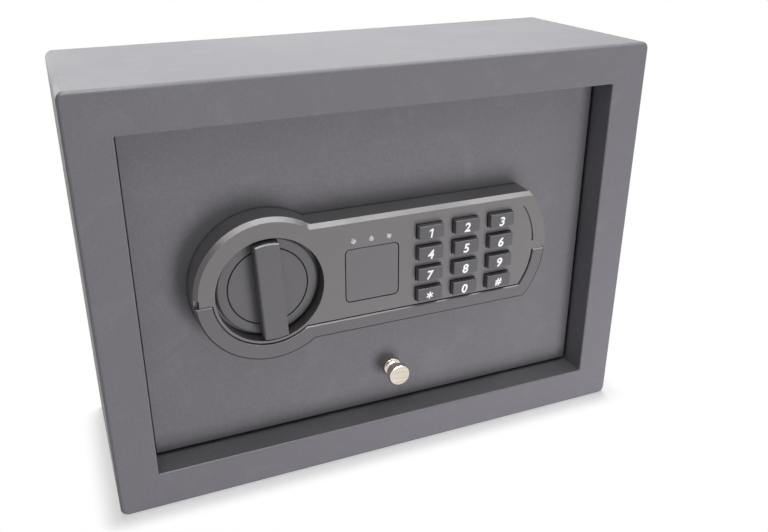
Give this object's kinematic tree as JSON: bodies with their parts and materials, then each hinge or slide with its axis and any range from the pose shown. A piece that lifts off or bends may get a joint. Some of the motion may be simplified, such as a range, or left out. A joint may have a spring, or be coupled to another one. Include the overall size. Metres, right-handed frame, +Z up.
{
  "type": "drawer safe",
  "caption": "Slim steel safe for a drawer, stood upright, with a recessed hinged door, a keypad lock panel with a turning dial and a pull knob, and bolt work inside.",
  "frame": {"origin": "centre of the bottom face, as the safe stands on its long side", "axes": "+X to the right seen from the door, +Y into the safe towards the anchor holes, +Z up"},
  "size_m": [0.3, 0.1115, 0.22],
  "materials": {
    "body_paint": "fine textured powder coat",
    "door_paint": "fine textured powder coat",
    "case_paint": "fine textured powder coat",
    "felt": "short felt",
    "hinge_steel": "zinc plated",
    "panel_plastic": "satin",
    "trim_plastic": "satin",
    "dial_plastic": "satin",
    "cover_plastic": "satin",
    "key_plastic": "satin, white figures",
    "lamp_clear": "clear",
    "mat_rubber": "moulded",
    "board_green": "lacquered laminate",
    "knob_plate": "polished nickel",
    "lock_steel": "polished",
    "sheet_steel": "zinc plated",
    "cast_zinc": "as cast",
    "lock_brass": "turned",
    "coil_winding": "enamelled wire",
    "box_plastic": "satin",
    "cell_can": "wrapped can"
  },
  "bodies": {
    "safe_body": {"body_shell": "body_paint", "door_stops": "body_paint", "back_panel": "body_paint", "felt_mat": "felt", "hinge_bracket_left": "hinge_steel", "hinge_bracket_right": "hinge_steel", "hinge_pins": "hinge_steel"},
    "door": {"door_plate": "door_paint", "hinge_ear_left": "hinge_steel", "hinge_ear_right": "hinge_steel", "panel_housing": "panel_plastic", "panel_trim": "trim_plastic", "keypad_mat": "mat_rubber", "circuit_board": "board_green", "indicator_lens_1": "lamp_clear", "indicator_lens_2": "lamp_clear", "indicator_lens_3": "lamp_clear", "key_cylinder": "lock_brass", "cylinder_nut": "lock_brass", "dial_bush": "lock_brass", "bolt_guide_left": "sheet_steel", "bolt_guide_right": "sheet_steel", "carriage_studs": "sheet_steel", "solenoid_frame": "sheet_steel", "solenoid_coil": "coil_winding", "battery_box": "box_plastic", "battery_1": "cell_can", "battery_2": "cell_can", "battery_3": "cell_can", "battery_4": "cell_can", "battery_contacts": "sheet_steel", "mechanism_case": "case_paint", "case_screws": "sheet_steel", "panel_screws": "sheet_steel", "pull_knob": "knob_plate", "knob_screw": "sheet_steel"},
    "dial": {"dial": "dial_plastic", "dial_spindle": "sheet_steel", "dial_cam": "cast_zinc"},
    "carriage": {"bolt_carriage": "sheet_steel", "bolt_left": "lock_steel", "bolt_right": "lock_steel"},
    "plunger": {"solenoid_plunger": "sheet_steel"},
    "key_plug": {"key_plug": "lock_brass", "key_lever": "sheet_steel"},
    "emergency_cover": {"emergency_cover": "cover_plastic"},
    "battery_lid": {"battery_lid": "box_plastic"},
    "reset_button": {"reset_button": "box_plastic"},
    "key_1": {"key_1": "key_plastic"},
    "key_2": {"key_2": "key_plastic"},
    "key_3": {"key_3": "key_plastic"},
    "key_4": {"key_4": "key_plastic"},
    "key_5": {"key_5": "key_plastic"},
    "key_6": {"key_6": "key_plastic"},
    "key_7": {"key_7": "key_plastic"},
    "key_8": {"key_8": "key_plastic"},
    "key_9": {"key_9": "key_plastic"},
    "key_star": {"key_star": "key_plastic"},
    "key_0": {"key_0": "key_plastic"},
    "key_hash": {"key_hash": "key_plastic"}
  },
  "joints": [
    {"name": "door_swing", "type": "hinge", "parent": "safe_body", "child": "door", "pos_m": [0, -0.0315, 0.1846], "axis": [-1, 0, 0], "range_deg": [0, 100]},
    {"name": "dial_turn", "type": "hinge", "parent": "door", "child": "dial", "pos_m": [-0.0645, -0.0487, 0.1137], "axis": [0, 1, 0], "range_deg": [0, 90]},
    {"name": "bolt_throw", "type": "slide", "parent": "door", "child": "carriage", "axis": [0, 0, -1], "range_m": [0, 0.01]},
    {"name": "plunger_throw", "type": "slide", "parent": "door", "child": "plunger", "axis": [-1, 0, 0], "range_m": [0, 0.004]},
    {"name": "key_turn", "type": "hinge", "parent": "door", "child": "key_plug", "pos_m": [-0.01025, -0.052, 0.1138], "axis": [0, -1, 0], "range_deg": [0, 90]},
    {"name": "cover_pull", "type": "slide", "parent": "door", "child": "emergency_cover", "axis": [0, -1, 0], "range_m": [0, 0.012]},
    {"name": "battery_lid_pull", "type": "slide", "parent": "door", "child": "battery_lid", "axis": [0, 1, 0], "range_m": [0, 0.015]},
    {"name": "reset_press", "type": "slide", "parent": "door", "child": "reset_button", "axis": [0, -1, 0], "range_m": [0, 0.0015], "stiffness_N_per_m": 400, "springref_m": -0.0015},
    {"name": "key_1_press", "type": "slide", "parent": "door", "child": "key_1", "axis": [0, 1, 0], "range_m": [0, 0.0009], "stiffness_N_per_m": 600, "springref_m": -0.0008},
    {"name": "key_2_press", "type": "slide", "parent": "door", "child": "key_2", "axis": [0, 1, 0], "range_m": [0, 0.0009], "stiffness_N_per_m": 600, "springref_m": -0.0008},
    {"name": "key_3_press", "type": "slide", "parent": "door", "child": "key_3", "axis": [0, 1, 0], "range_m": [0, 0.0009], "stiffness_N_per_m": 600, "springref_m": -0.0008},
    {"name": "key_4_press", "type": "slide", "parent": "door", "child": "key_4", "axis": [0, 1, 0], "range_m": [0, 0.0009], "stiffness_N_per_m": 600, "springref_m": -0.0008},
    {"name": "key_5_press", "type": "slide", "parent": "door", "child": "key_5", "axis": [0, 1, 0], "range_m": [0, 0.0009], "stiffness_N_per_m": 600, "springref_m": -0.0008},
    {"name": "key_6_press", "type": "slide", "parent": "door", "child": "key_6", "axis": [0, 1, 0], "range_m": [0, 0.0009], "stiffness_N_per_m": 600, "springref_m": -0.0008},
    {"name": "key_7_press", "type": "slide", "parent": "door", "child": "key_7", "axis": [0, 1, 0], "range_m": [0, 0.0009], "stiffness_N_per_m": 600, "springref_m": -0.0008},
    {"name": "key_8_press", "type": "slide", "parent": "door", "child": "key_8", "axis": [0, 1, 0], "range_m": [0, 0.0009], "stiffness_N_per_m": 600, "springref_m": -0.0008},
    {"name": "key_9_press", "type": "slide", "parent": "door", "child": "key_9", "axis": [0, 1, 0], "range_m": [0, 0.0009], "stiffness_N_per_m": 600, "springref_m": -0.0008},
    {"name": "key_star_press", "type": "slide", "parent": "door", "child": "key_star", "axis": [0, 1, 0], "range_m": [0, 0.0009], "stiffness_N_per_m": 600, "springref_m": -0.0008},
    {"name": "key_0_press", "type": "slide", "parent": "door", "child": "key_0", "axis": [0, 1, 0], "range_m": [0, 0.0009], "stiffness_N_per_m": 600, "springref_m": -0.0008},
    {"name": "key_hash_press", "type": "slide", "parent": "door", "child": "key_hash", "axis": [0, 1, 0], "range_m": [0, 0.0009], "stiffness_N_per_m": 600, "springref_m": -0.0008}
  ],
  "couplings": [
    {"joint": "dial_turn", "follows": "bolt_throw", "rad_per_m": 157.08}
  ]
}
